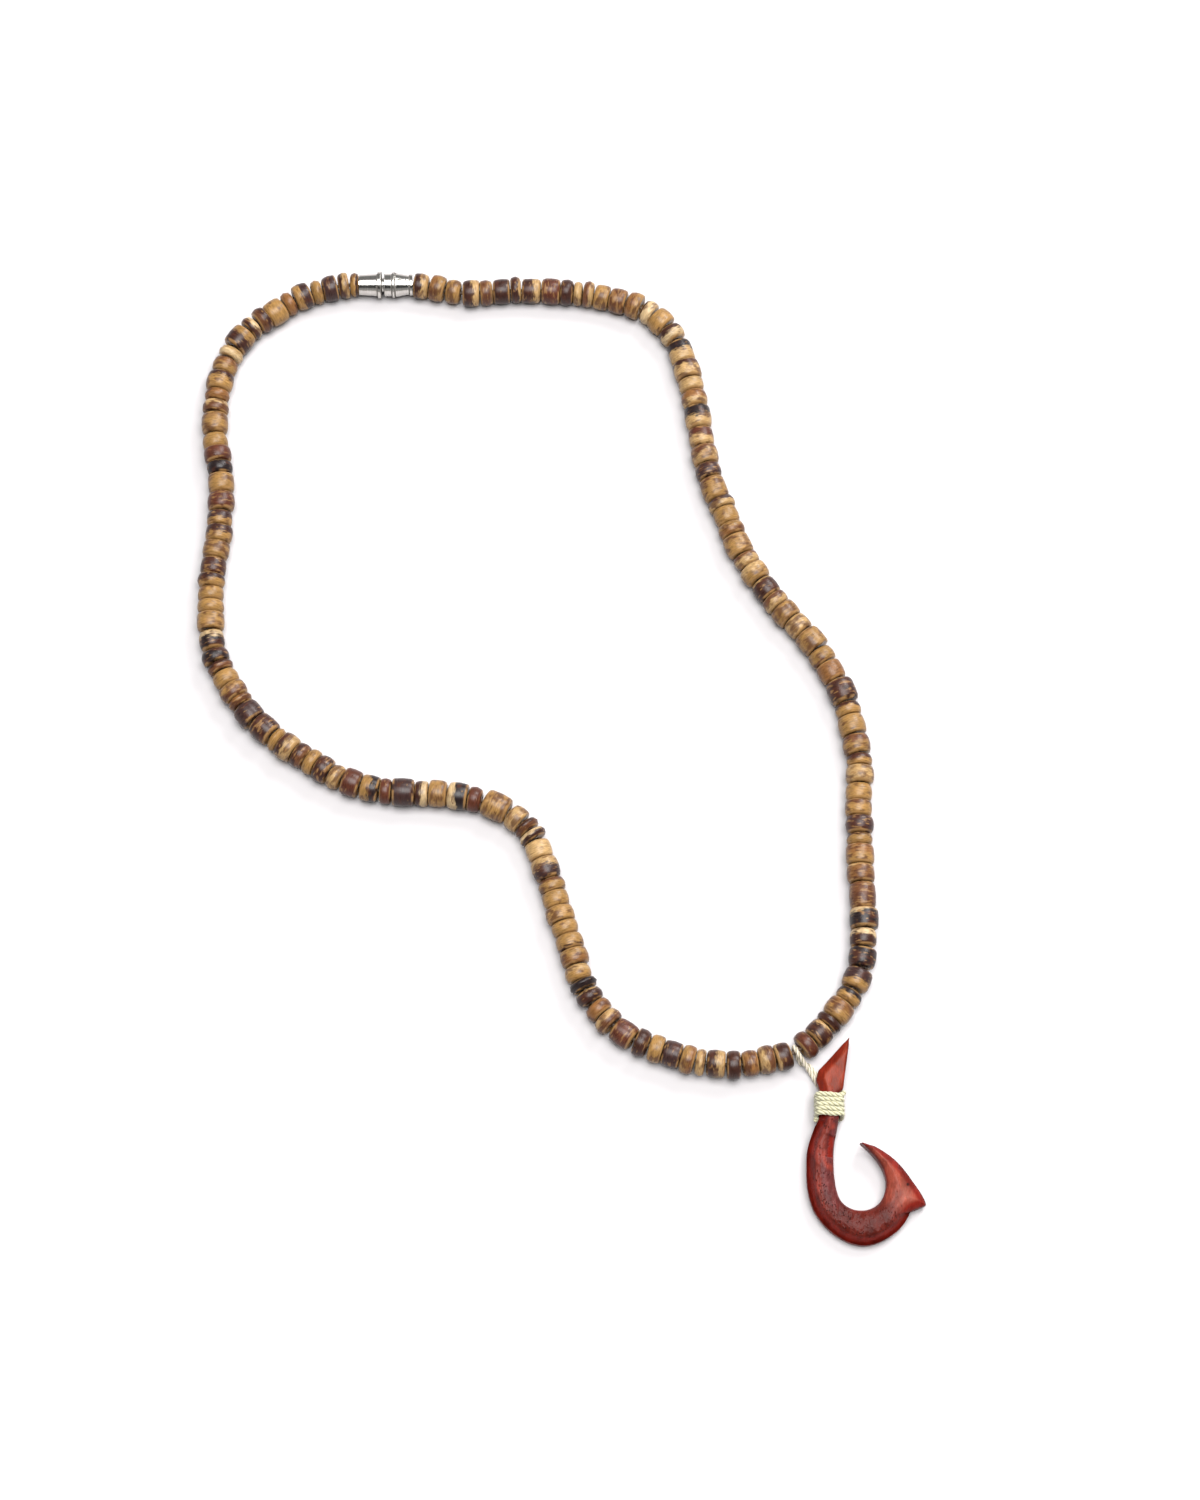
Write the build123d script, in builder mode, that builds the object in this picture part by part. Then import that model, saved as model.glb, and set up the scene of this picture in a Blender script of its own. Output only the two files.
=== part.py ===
from build123d import *
from math import asin, cos, pi, radians, sin, sqrt, tan
import os

import numpy as np

# A bead necklace lying on a flat surface, in millimetres. X runs to the right, Y from the pendant
# up to the clasp and Z up from the surface. The origin is on the surface, under the middle of the
# whole necklace. The string of beads is one closed loop: from the clasp's right end down the right
# side to the pendant's cord, and back up the left side to the clasp's left end.

# Beads: turned discs with rounded rims, each as wide as its digit in the chart says
bead_diameter = 5.0
bead_diameter_spread = 0.24
slimmest_bead = 1.57
bead_width_step = 0.4
bead_rounding = 0.85
slim_bead_rounding = 0.42  # of its width
bead_gap = 0.12
gap_halvings = 20
bead_sway = 0.1
bead_drop = 0.8  # of the thread's play
right_chart = "33342415520134324375247553714262452446357255144341548545525042"
left_chart = "3332402422622203332332640038254261442312406503302542224443552336215316125141310"

# Thread: one length through every bead, knotted in both halves of the clasp
thread_diameter = 0.7
thread_play = 0.25
knot_diameter = 1.6
knot_play = 0.15

# Route of the string, from just outside the clasp's right end round to its left end. Each corner's
# arc takes up to this share of the shorter of its two runs.
arc_share = 0.45
string_route = [
    (-24.5, 92.3), (-17.6, 90.3), (-4.0, 91.3), (8.7, 90.2), (18.3, 87.4), (24.1, 81.7),
    (27.6, 69.7), (29.7, 53.3), (36.5, 34.8), (42.3, 25.8), (50.5, 16.0), (54.2, 8.2),
    (57.2, -3.5), (56.5, -22.0), (56.9, -33.6), (56.7, -46.0), (49.4, -56.0), (44.1, -60.6),
    (30.6, -63.2), (14.7, -57.9), (7.3, -50.4), (3.1, -35.9), (-2.4, -19.0), (-9.6, -13.6),
    (-18.4, -12.0), (-33.8, -11.3), (-45.7, -4.2), (-53.7, 1.9), (-62.2, 14.9), (-62.9, 29.5),
    (-61.4, 43.1), (-62.0, 52.5), (-64.1, 64.0), (-61.1, 80.2), (-48.4, 89.8), (-39.8, 92.3),
]

# Clasp: a silver barrel in two halves, the right half's hollow stud screwed into the left half
clasp_middle_x = -31.65
end_wall = 0.5
socket_length = 3.55
socket_end_diameter = 3.9
socket_mouth_diameter = 4.3
flange_diameter = 5.2
flange_length = 0.7
neck_length = 0.6
stud_diameter = 2.7
stud_length = 2.1
stud_clearance = 0.1
collar_diameter = 4.4
collar_length = 1.55
rim_diameter = 5.0
rim_length = 0.5
barrel_diameter = 4.7
barrel_end_diameter = 3.6
barrel_length = 2.8
end_ring_diameter = 4.1
end_ring_length = 0.6
metal_edge = 0.12

# Pendant: a flat carved hook, lying on its back. Its outlines are tables of (across, along), as
# shares of its width and length, measured from the lowest point of its bow.
hook_length = 36.5
hook_width = 20.7
hook_thickness = 3.6
hook_hang = (9.35, 2.2)  # of its head's tip, from the thread at the loop
bevel_width = 1.3
bevel_depth = 1.1
hook_edge = 0.3
hook_point_radius = 0.2
shank_width = 3.15
shank_middle = -0.263
bow_outside = [(-0.447, 0.443), (-0.466, 0.334), (-0.413, 0.17), (-0.249, 0.056), (0, 0),
               (0.249, 0.056), (0.394, 0.167)]
barb_point = (0.529, 0.198)
barb_outside = [(0.5, 0.241), (0.438, 0.298), (0.28, 0.414), (0.155, 0.464)]
hook_point = (-0.02, 0.492)
bow_inside = [(0.13, 0.414), (0.198, 0.296), (0.126, 0.194), (-0.019, 0.164), (-0.169, 0.199),
              (-0.229, 0.296), (-0.234, 0.433)]
head_right_foot = (-0.145, 0.751)
head_tip = (-0.08, 1.003)
head_left_corner = [(-0.35, 0.844), (-0.372, 0.795)]

# Cord: the lashing round the shank, and the loop that hangs the hook from the thread
cord_diameter = 0.85
cord_gap = 0.08
lashing_turns = 5
turn_overlap = 0.03
lashing_side_play = 0.2
lashing_bottom = 0.618
lashing_corner = 0.64
loop_distance = 208.4
loop_room = 0.18
leg_gap = 0.3
leg_spacing = 1.28
first_leg_bend = (-0.396, 0.837)
second_leg_bend = (-0.29, 0.82)
second_leg_run = 2.2


# Heights: everything on the thread is as high as the widest of its pieces needs to rest
string_height = max(bead_diameter + bead_diameter_spread, flange_diameter) / 2

clasp_length = (socket_length + flange_length + neck_length + collar_length + rim_length
                + barrel_length + end_ring_length)
clasp_left_x = clasp_middle_x - clasp_length / 2
clasp_right_x = clasp_middle_x + clasp_length / 2
clasp_y = string_route[0][1]

# Thread path: straight runs joined by arcs as large as the runs allow
knot_seat = end_wall + knot_play + knot_diameter / 2
thread_points = [
    (clasp_right_x - knot_seat, clasp_y),
    *string_route,
    (clasp_left_x + knot_seat, clasp_y),
]


def corner_radii(points):
    """The arc at each inner point: its share of the shorter run, over the tangent of half its turn."""
    radii = []
    for before, corner, after in zip(points, points[1:], points[2:]):
        run_in, run_out = Vector(corner) - Vector(before), Vector(after) - Vector(corner)
        half_turn = radians(run_in.get_angle(run_out)) / 2
        radii.append(arc_share * min(run_in.length, run_out.length) / tan(half_turn))
    return radii


thread_radii = corner_radii(thread_points)
print("Thread's arc radii:", [round(radius, 1) for radius in thread_radii])

with BuildLine(Plane.XY.offset(string_height)) as thread_line:
    FilletPolyline(*thread_points, radius=thread_radii)
thread_path = thread_line.wires()[0]


def thread_point(distance):
    return thread_path.position_at(distance, position_mode=PositionMode.LENGTH)


def thread_direction(distance):
    return thread_path.tangent_at(distance, position_mode=PositionMode.LENGTH)


sample_distances = np.linspace(0, thread_path.length, int(thread_path.length))
sample_directions = [thread_direction(distance) for distance in sample_distances]
sample_headings = np.unwrap([np.arctan2(way.Y, way.X) for way in sample_directions])


def turn_between(first, second):
    """How far the thread turns between two distances along it, in radians."""
    headings = np.interp([first, second], sample_distances, sample_headings)
    return abs(headings[1] - headings[0])


# Beads: laid out along the thread, with a bore that clears the thread's bend inside the widest bead
widest_bead = slimmest_bead + bead_width_step * max(map(int, right_chart + left_chart))
bend_play = widest_bead**2 / (8 * min(thread_radii))
bead_bore = thread_diameter + 2 * (bend_play + thread_play)
rim_radius = (bead_diameter + bead_diameter_spread) / 2 - bead_rounding


def lay_beads(widths, start, gap):
    """Each bead's middle, with rims a gap apart or more, and last the end that the row reaches."""
    middles = []
    last_middle, last_width = start, 0
    for width in [*widths, 0]:
        step = (last_width + width) / 2 + gap
        turn = turn_between(last_middle, last_middle + step)
        turn = turn_between(last_middle, last_middle + step + rim_radius * turn)
        last_middle += step + rim_radius * turn
        last_width = width
        middles.append(last_middle)
    return middles


def fill_strand(chart, start, end):
    """Widths and middles of the beads that fill the thread from start to end, evenly spaced."""
    widths = []
    while True:
        digit = int(chart[len(widths) % len(chart)])
        width = slimmest_bead + bead_width_step * digit
        if lay_beads([*widths, width], start, bead_gap)[-1] > end:
            break
        widths.append(width)
    narrow, wide = bead_gap, bead_gap + (end - start) / len(widths)
    for halving in range(gap_halvings):
        gap = (narrow + wide) / 2
        if lay_beads(widths, start, gap)[-1] > end:
            wide = gap
        else:
            narrow = gap
    return widths, lay_beads(widths, start, narrow)[:-1]


def make_bead(width, diameter):
    """One drilled disc on the Z axis, about its own middle."""
    with BuildPart() as bead:
        with BuildSketch(Plane.XZ):
            with Locations(((bead_bore + diameter) / 4, 0)):
                Rectangle((diameter - bead_bore) / 2, width)
            outer_corners = vertices().group_by(Axis.X)[-1]
            fillet(outer_corners, min(bead_rounding, slim_bead_rounding * width))
        revolve(axis=Axis.Z)
    return bead.part


def string_beads(widths, middles):
    """The beads in place: each sinks to the surface as far as its bore lets it."""
    golden_angle = pi * (3 - sqrt(5))
    beads = []
    for index, (width, middle) in enumerate(zip(widths, middles)):
        diameter = bead_diameter + bead_diameter_spread * sin(index * golden_angle)
        drop = min(string_height - diameter / 2, bead_drop * thread_play)
        direction = thread_direction(middle)
        sideways = direction.cross(Vector(0, 0, 1)) * bead_sway * cos(2 * index * golden_angle)
        centre = thread_point(middle) + sideways - Vector(0, 0, drop)
        bead_plane = Plane(origin=centre, x_dir=(0, 0, 1), z_dir=direction)
        beads.append(make_bead(width, diameter).moved(bead_plane.location))
    return beads


right_start = clasp_right_x - thread_points[0][0]
left_end = thread_path.length - (thread_points[-1][0] - clasp_left_x)
loop_half_room = cord_diameter / 2 + loop_room

right_beads = string_beads(*fill_strand(right_chart, right_start, loop_distance - loop_half_room))
left_beads = string_beads(*fill_strand(left_chart, loop_distance + loop_half_room, left_end))

with BuildPart() as bead_string_right:
    add(right_beads)

with BuildPart() as bead_string_left:
    add(left_beads)

# Thread: a plain round tube with a knot at each end
with BuildPart() as stringing_cord:
    with Locations(thread_path @ 0, thread_path @ 1):
        Sphere(knot_diameter / 2, rotation=(0, 90, 0))
    with BuildSketch(Plane(origin=thread_point(0), z_dir=thread_direction(0))):
        Circle(thread_diameter / 2)
    sweep(path=thread_path)

# Clasp: both halves are turned about one axis, from left to right
clasp_plane = Plane(
    origin=(clasp_left_x, clasp_y, string_height), x_dir=(1, 0, 0), z_dir=(0, -1, 0)
)
clasp_axis = Axis((clasp_left_x, clasp_y, string_height), (1, 0, 0))
thread_hole = thread_diameter / 2 + thread_play
stud_bore = knot_diameter / 2 + knot_play
socket_bore = stud_diameter / 2 + stud_clearance
flange_start = socket_length
mouth = flange_start + flange_length
collar_start = mouth + neck_length
rim_start = collar_start + collar_length
barrel_start = rim_start + rim_length
ring_start = barrel_start + barrel_length

with BuildPart() as clasp_socket:
    with BuildSketch(clasp_plane):
        with BuildLine():
            Polyline(
                (0, thread_hole),
                (0, socket_end_diameter / 2),
                (flange_start, socket_mouth_diameter / 2),
                (flange_start, flange_diameter / 2),
                (mouth, flange_diameter / 2),
                (mouth, socket_bore),
                (end_wall, socket_bore),
                (end_wall, thread_hole),
                close=True,
            )
        make_face()
    revolve(axis=clasp_axis)
    flange_rims = edges().filter_by(GeomType.CIRCLE).group_by(SortBy.RADIUS)[-1]
    fillet(flange_rims, metal_edge)

with BuildPart() as clasp_screw:
    with BuildSketch(clasp_plane):
        with BuildLine():
            Polyline(
                (collar_start - stud_length, stud_bore),
                (collar_start - stud_length, stud_diameter / 2),
                (collar_start, stud_diameter / 2),
                (collar_start, collar_diameter / 2),
                (rim_start, collar_diameter / 2),
                (rim_start, rim_diameter / 2),
                (barrel_start, rim_diameter / 2),
                (barrel_start, barrel_diameter / 2),
                (ring_start, barrel_end_diameter / 2),
                (ring_start, end_ring_diameter / 2),
                (clasp_length, end_ring_diameter / 2),
                (clasp_length, thread_hole),
                (clasp_length - end_wall, thread_hole),
                (clasp_length - end_wall, stud_bore),
                close=True,
            )
        make_face()
    revolve(axis=clasp_axis)
    rims = edges().filter_by(GeomType.CIRCLE).group_by(SortBy.RADIUS)
    fillet(rims[-1], metal_edge)

# Pendant: it hangs by its head's tip from the thread at the loop, and lies on the bottom of its bow
# and on the lashing's back, so it is a little tilted
cord_thickness = cord_gap + cord_diameter
lashing_pitch = cord_diameter - turn_overlap
lashing_foot = lashing_bottom * hook_length
lashing_height = cord_diameter + lashing_pitch * (lashing_turns - 1)
lashing_top = lashing_foot + lashing_height
shank_left = shank_middle * hook_width - shank_width / 2
shank_right = shank_left + shank_width


def on_hook(share):
    """A point of the outline tables, in millimetres."""
    return (share[0] * hook_width, share[1] * hook_length)


def halfway(first, second):
    return ((first[0] + second[0]) / 2, (first[1] + second[1]) / 2)


def shank_seat(side):
    """One side of the lashing's seat: its foot, middle and top."""
    return [(side, lashing_foot), (side, lashing_foot + lashing_height / 2), (side, lashing_top)]


hook_tilt = asin(cord_thickness / lashing_foot)
loop_point = thread_point(loop_distance)
tip_across, tip_along = on_hook(head_tip)
hook_plane = Plane(
    origin=(
        loop_point.X + hook_hang[0] - tip_across,
        loop_point.Y + hook_hang[1] - tip_along * cos(hook_tilt),
        0,
    ),
    x_dir=(1, 0, 0),
    z_dir=(0, -sin(hook_tilt), cos(hook_tilt)),
)


def outline_edge(point, height):
    """The fish hook's edge nearest to a point of its outline, at a height over its back."""
    return edges().sort_by_distance(hook_plane.from_local_coords(Vector(*point, height)))[0]


with BuildPart() as fish_hook:
    with BuildSketch(hook_plane):
        with BuildLine():
            outer_line = [on_hook(share) for share in [*bow_outside[::-1], head_left_corner[1]]]
            outer_line[-1:-1] = shank_seat(shank_left)
            Spline(*outer_line)
            Line(outer_line[0], on_hook(barb_point))
            Spline(*[on_hook(share) for share in [barb_point, *barb_outside, hook_point]])
            inner_line = [on_hook(share) for share in [hook_point, *bow_inside]]
            Spline(*inner_line, *shank_seat(shank_right))
            head_line = [head_right_foot, head_tip, *head_left_corner]
            Polyline((shank_right, lashing_top), *[on_hook(share) for share in head_line])
        make_face()
    extrude(amount=hook_thickness)
    fillet(outline_edge(on_hook(hook_point), hook_thickness / 2), hook_point_radius)
    back_face = faces().sort_by(Axis(hook_plane.origin, hook_plane.z_dir))[0]
    fillet(back_face.edges(), hook_edge)
    top_face = faces().sort_by(Axis(hook_plane.origin, hook_plane.z_dir))[-1]
    head_side = halfway(on_hook(head_tip), on_hook(head_left_corner[0]))
    head_corner = halfway(*map(on_hook, head_left_corner))
    outer_points = [on_hook(bow_outside[2]), head_corner, head_side]
    outer_edges = [outline_edge(point, hook_thickness) for point in outer_points]
    chamfer(outer_edges, bevel_width, bevel_depth, reference=top_face)
    right_foot = halfway((shank_right, lashing_top), on_hook(head_right_foot))
    right_head = halfway(on_hook(head_right_foot), on_hook(head_tip))
    inner_points = [on_hook(barb_outside[1]), on_hook(bow_inside[2]), right_foot, right_head]
    fillet([outline_edge(point, hook_thickness) for point in inner_points], hook_edge)

# Lashing: round turns of cord side by side, on a thin sleeve that stands for their inner faces
shank_section = Plane(
    origin=hook_plane.from_local_coords(
        Vector(shank_left + shank_width / 2, lashing_foot, hook_thickness / 2)
    ),
    x_dir=hook_plane.x_dir,
    z_dir=hook_plane.y_dir,
)
sleeve_width = shank_width + 2 * lashing_side_play
sleeve_height = hook_thickness + 2 * cord_gap

with BuildPart() as lashing:
    for turn in range(lashing_turns):
        turn_plane = shank_section.offset(cord_diameter / 2 + turn * lashing_pitch)
        with BuildSketch(turn_plane, mode=Mode.PRIVATE) as turn_outline:
            RectangleRounded(sleeve_width + cord_diameter, sleeve_height + cord_diameter, lashing_corner)
        turn_path = turn_outline.sketch.face().outer_wire()
        with BuildSketch(Plane(origin=turn_path @ 0, z_dir=turn_path % 0)):
            Circle(cord_diameter / 2)
        sweep(path=turn_path)
    with BuildSketch(shank_section.offset(cord_diameter / 2)):
        RectangleRounded(sleeve_width + cord_diameter, sleeve_height + cord_diameter, lashing_corner)
        RectangleRounded(sleeve_width, sleeve_height, cord_gap, mode=Mode.SUBTRACT)
    extrude(amount=lashing_pitch * (lashing_turns - 1))

# Hanging loop: both legs lie under the head and end at the lashing. The first comes up over the
# thread, between two beads, goes down behind it and back under it, and the second leg lies on
# the surface beside the next bead.
thread_frame = Plane(
    origin=loop_point,
    x_dir=Vector(0, 0, 1).cross(thread_direction(loop_distance)),
    z_dir=(0, 0, 1),
)
wrap = thread_diameter / 2 + cord_gap + cord_diameter / 2
under_head = -cord_gap - cord_diameter / 2
leg_start = lashing_top + leg_gap
on_surface = cord_diameter / 2 + cord_gap - string_height
beside_bead = sqrt((string_height + cord_diameter / 2 + cord_gap) ** 2 - on_surface**2)


def below_head(across, along):
    """A point of the loop's legs under the head, from shares of the hook's width and length."""
    return hook_plane.from_local_coords(
        Vector(across * hook_width, along * hook_length, under_head)
    )


def at_thread(outward, back_along, up):
    """A point of the loop near the thread."""
    return thread_frame.from_local_coords(Vector(outward, back_along, up))


first_leg = shank_left + cord_diameter
loop_points = [
    hook_plane.from_local_coords(Vector(first_leg, leg_start, under_head)),
    below_head(*first_leg_bend),
    at_thread(wrap, 0, wrap),
    at_thread(-wrap, 0, wrap),
    at_thread(-wrap, 0, -wrap),
    at_thread(beside_bead, 0, on_surface),
    at_thread(beside_bead, second_leg_run, on_surface),
    below_head(*second_leg_bend),
    hook_plane.from_local_coords(Vector(first_leg + leg_spacing, leg_start, under_head)),
]
loop_radii = corner_radii(loop_points)
print("Loop's arc radii:", [round(radius, 1) for radius in loop_radii])

with BuildLine() as loop_line:
    FilletPolyline(*loop_points, radius=loop_radii)
loop_path = loop_line.wires()[0]

with BuildPart() as hanging_loop:
    with BuildSketch(Plane(origin=loop_path @ 0, z_dir=loop_path % 0)):
        Circle(cord_diameter / 2)
    sweep(path=loop_path)

tube_volumes = {
    "thread": (stringing_cord.part.volume, pi * thread_diameter**2 / 4 * thread_path.length),
    "loop": (hanging_loop.part.volume, pi * cord_diameter**2 / 4 * loop_path.length),
}
for name, (volume, section_times_length) in tube_volumes.items():
    print(f"Volume of the {name}: {volume:.2f}, section times length {section_times_length:.2f}")

nodes = {
    "bead_string_right": bead_string_right,
    "bead_string_left": bead_string_left,
    "stringing_cord": stringing_cord,
    "clasp_socket": clasp_socket,
    "clasp_screw": clasp_screw,
    "fish_hook": fish_hook,
    "lashing": lashing,
    "hanging_loop": hanging_loop,
}
os.makedirs("parts", exist_ok=True)
for name, node in nodes.items():
    node.part.label = name
    export_step(node.part, f"parts/{name}.step")
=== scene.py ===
import math

import bpy
import numpy as np
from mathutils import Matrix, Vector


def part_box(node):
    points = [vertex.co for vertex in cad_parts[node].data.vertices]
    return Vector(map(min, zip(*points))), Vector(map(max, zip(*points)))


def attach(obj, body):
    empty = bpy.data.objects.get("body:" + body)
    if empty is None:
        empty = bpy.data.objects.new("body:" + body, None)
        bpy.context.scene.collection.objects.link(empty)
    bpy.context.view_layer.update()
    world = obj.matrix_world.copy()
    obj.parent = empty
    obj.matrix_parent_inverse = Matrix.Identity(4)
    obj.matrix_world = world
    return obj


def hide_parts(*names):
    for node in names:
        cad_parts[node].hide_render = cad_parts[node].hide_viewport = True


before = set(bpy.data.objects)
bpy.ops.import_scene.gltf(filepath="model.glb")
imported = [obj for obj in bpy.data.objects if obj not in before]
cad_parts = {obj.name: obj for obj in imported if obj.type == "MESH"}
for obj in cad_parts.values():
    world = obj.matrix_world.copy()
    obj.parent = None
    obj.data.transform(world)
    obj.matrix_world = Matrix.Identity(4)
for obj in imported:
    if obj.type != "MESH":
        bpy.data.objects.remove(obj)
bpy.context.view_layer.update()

# Camera
# It looks down at the surface from 70 degrees, from the pendant's side, through a 72 mm lens.

camera_elevation = 70
camera_data = bpy.data.cameras.new("camera")
camera_data.sensor_width = 36
camera_data.lens = 72
camera_data.clip_start = 0.02
camera = bpy.data.objects.new("camera", camera_data)
camera.location = (0.00974, -0.19094, 0.5176)
camera.rotation_euler = (math.radians(90 - camera_elevation), 0, 0)
bpy.context.scene.collection.objects.link(camera)
bpy.context.scene.camera = camera
bpy.context.scene.view_settings.view_transform = "Standard"

# Surface and light
# A plain white sheet of card under one large soft box, with a window behind on the right. The
# room is pale near the floor and overhead; on the camera's side it is dark in between.


def linear(hex_colour):
    """The linear red, green and blue of a colour written as six hex digits."""
    share = np.array([int(hex_colour[i : i + 2], 16) / 255 for i in (0, 2, 4)])
    return np.where(share < 0.04045, share / 12.92, ((share + 0.055) / 1.055) ** 2.4)


def new_material(name):
    """A material with its Principled shader: (material, nodes, links, shader)."""
    material = bpy.data.materials.new(name)
    material.use_nodes = True
    nodes, links = material.node_tree.nodes, material.node_tree.links
    return material, nodes, links, nodes["Principled BSDF"]


card_half = 5
card_mesh = bpy.data.meshes.new("card")
card_corners = [(-card_half, -card_half, 0), (card_half, -card_half, 0)]
card_corners += [(card_half, card_half, 0), (-card_half, card_half, 0)]
card_mesh.from_pydata(card_corners, [], [(0, 1, 2, 3)])
card = bpy.data.objects.new("card", card_mesh)
bpy.context.scene.collection.objects.link(card)
card_material, *_, shader = new_material("card")
shader.inputs["Base Color"].default_value = (*linear("b6b3b4"), 1)
shader.inputs["Roughness"].default_value = 0.7
shader.inputs["Specular IOR Level"].default_value = 0.25
card_mesh.materials.append(card_material)

soft_box_data = bpy.data.lights.new("soft_box", "AREA")
soft_box_data.shape = "RECTANGLE"
soft_box_data.size = 0.75
soft_box_data.size_y = 0.66
soft_box_data.energy = 18.5
soft_box = bpy.data.objects.new("soft_box", soft_box_data)
soft_box.location = (0.08, -0.02, 0.95)
bpy.context.scene.collection.objects.link(soft_box)

# Each side of the room as (share of the way up from the floor's edge, grey), the camera's side first
room_greys = (
    ((0.0, 0.5), (0.2, 0.42), (0.42, 0.34), (0.52, 0.06), (0.92, 0.06), (1.0, 0.8)),
    ((0.0, 0.45), (0.3, 0.27), (0.8, 0.27), (1.0, 0.8)),
)
side_blend = 0.15
room = bpy.data.worlds.new("room")
bpy.context.scene.world = room
room.use_nodes = True
nodes, links = room.node_tree.nodes, room.node_tree.links
place = nodes.new("ShaderNodeTexCoord")
heading = nodes.new("ShaderNodeSeparateXYZ")
sides = []
for greys in room_greys:
    walls = nodes.new("ShaderNodeValToRGB")
    ends = walls.color_ramp.elements
    ends[0].position, ends[1].position = greys[0][0], greys[-1][0]
    ends[0].color = (greys[0][1],) * 3 + (1,)
    ends[1].color = (greys[-1][1],) * 3 + (1,)
    for position, grey in greys[1:-1]:
        ends.new(position).color = (grey, grey, grey, 1)
    links.new(heading.outputs["Z"], walls.inputs["Fac"])
    sides.append(walls.outputs["Color"])
behind = nodes.new("ShaderNodeMapRange")
behind.inputs["From Min"].default_value = -side_blend
behind.inputs["From Max"].default_value = side_blend
both = nodes.new("ShaderNodeMix")
both.data_type = "RGBA"
links.new(place.outputs["Generated"], heading.inputs[0])
links.new(heading.outputs["Y"], behind.inputs["Value"])
links.new(behind.outputs[0], both.inputs[0])
links.new(sides[0], both.inputs[6])
links.new(sides[1], both.inputs[7])
links.new(both.outputs[2], nodes["Background"].inputs["Color"])
nodes["Background"].inputs["Strength"].default_value = 1.0

window_data = bpy.data.lights.new("window", "AREA")
window_data.size = 0.42
window_data.energy = 9
window = bpy.data.objects.new("window", window_data)
window.location = (0.45, 0.6, 0.6)
window.rotation_euler = (math.radians(-51), 0, math.radians(-37))
bpy.context.scene.collection.objects.link(window)

# Strings of beads
# Discs turned from the wood and shell of a palm, each drilled through, strung one after another on
# the thread. Each is cut from another place, so one is plain gold, the next nearly black at one end.

bead_sides = 22
bead_bore = 0.00085
bead_rounding = 0.00066
bead_rounding_share = 0.36  # of its width, at most
bead_touch = 0.00004  # added to its width, so that neighbours touch
bead_end_share = (0.945, 0.985)  # of its radius, where its side meets a rounded rim
bead_tilt = 0.03
bead_shift = 0.00009
bead_apart = 9.7  # millimetres along the wood from one bead's grain to the next one's
bead_darkening = 0.61
tones = {
    "c": "ccae82",
    "t": "ba9664",
    "g": "a37b46",
    "b": "8a5d34",
    "m": "6b432a",
    "r": "5e3222",
    "d": "3e231b",
    "p": "402a27",
    "k": "261a1a",
}
# One letter or digit for each bead, along the thread from the clasp's right end: the tone of its
# first end, the tone of its other end, where the first gives way in tenths, and how flecked it is.
right_start = "dbgdmdddrdtmgbbdgdkdtbkrmpmpgggmttmgtggbddgmdtgmpdbtmcckpkbdtr"
right_end = "tggttdttrdttgbgcgctttttttpgtgbgtgdtgtgmbdggggtggpggbmkdkgggddr"
right_split = "55568586555555525553565545255553525555855455555352525245765525"
right_flecks = "35626223625347521224133576431555133756336326363452466334326253"
left_start = "dmbdttbpgdrmbdkgbdggggptdmtgrkgcprkrtdgmtgdpbmgmkkggggdgggrgkrggmbggcddmgbggpdg"
left_end = "ttbddtgpgdrtbtktgggggmttcdtgrcgdprgrtdgddgdpbggdkcgggddgdprgkrggtbdbtgcdgbpgptd"
left_split = "8555555555545855525557555655565555555554755555555555555555555555556555655555556"
left_flecks = "3562353323653212521413412366326212235715416466233441226633621326333513431332243"


def points_and_corners(mesh):
    """A mesh's points, and the number of the point at each corner of its faces."""
    points = np.empty(len(mesh.vertices) * 3, np.float32)
    mesh.vertices.foreach_get("co", points)
    corners = np.empty(len(mesh.loops), np.int32)
    mesh.loops.foreach_get("vertex_index", corners)
    return points.reshape(-1, 3).astype(float), corners


def solids_of(node):
    """The corner points of a CAD node, and which of its loose solids each belongs to.

    Points in the same place are taken as one. Each point then takes the lowest number found among
    its neighbours, again and again, until every solid's points share one number."""
    points, corners = points_and_corners(node.data)
    steps_per_metre, code_base = 1e7, 2**22
    grid = np.round(points * steps_per_metre).astype(np.int64)
    code = (grid[:, 0] * code_base + grid[:, 1]) * code_base + grid[:, 2]
    kept, same = np.unique(code, return_index=True, return_inverse=True)[1:]
    triangles = same[corners].reshape(-1, 3)
    first, second = triangles.ravel(), np.roll(triangles, 1, axis=1).ravel()
    number = np.arange(len(kept))
    while True:
        lowest = np.minimum(number[first], number[second])
        after = number.copy()
        np.minimum.at(after, first, lowest)
        np.minimum.at(after, second, lowest)
        after = after[after]
        if np.array_equal(after, number):
            break
        number = after
    return points[kept], np.unique(number, return_inverse=True)[1]


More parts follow.
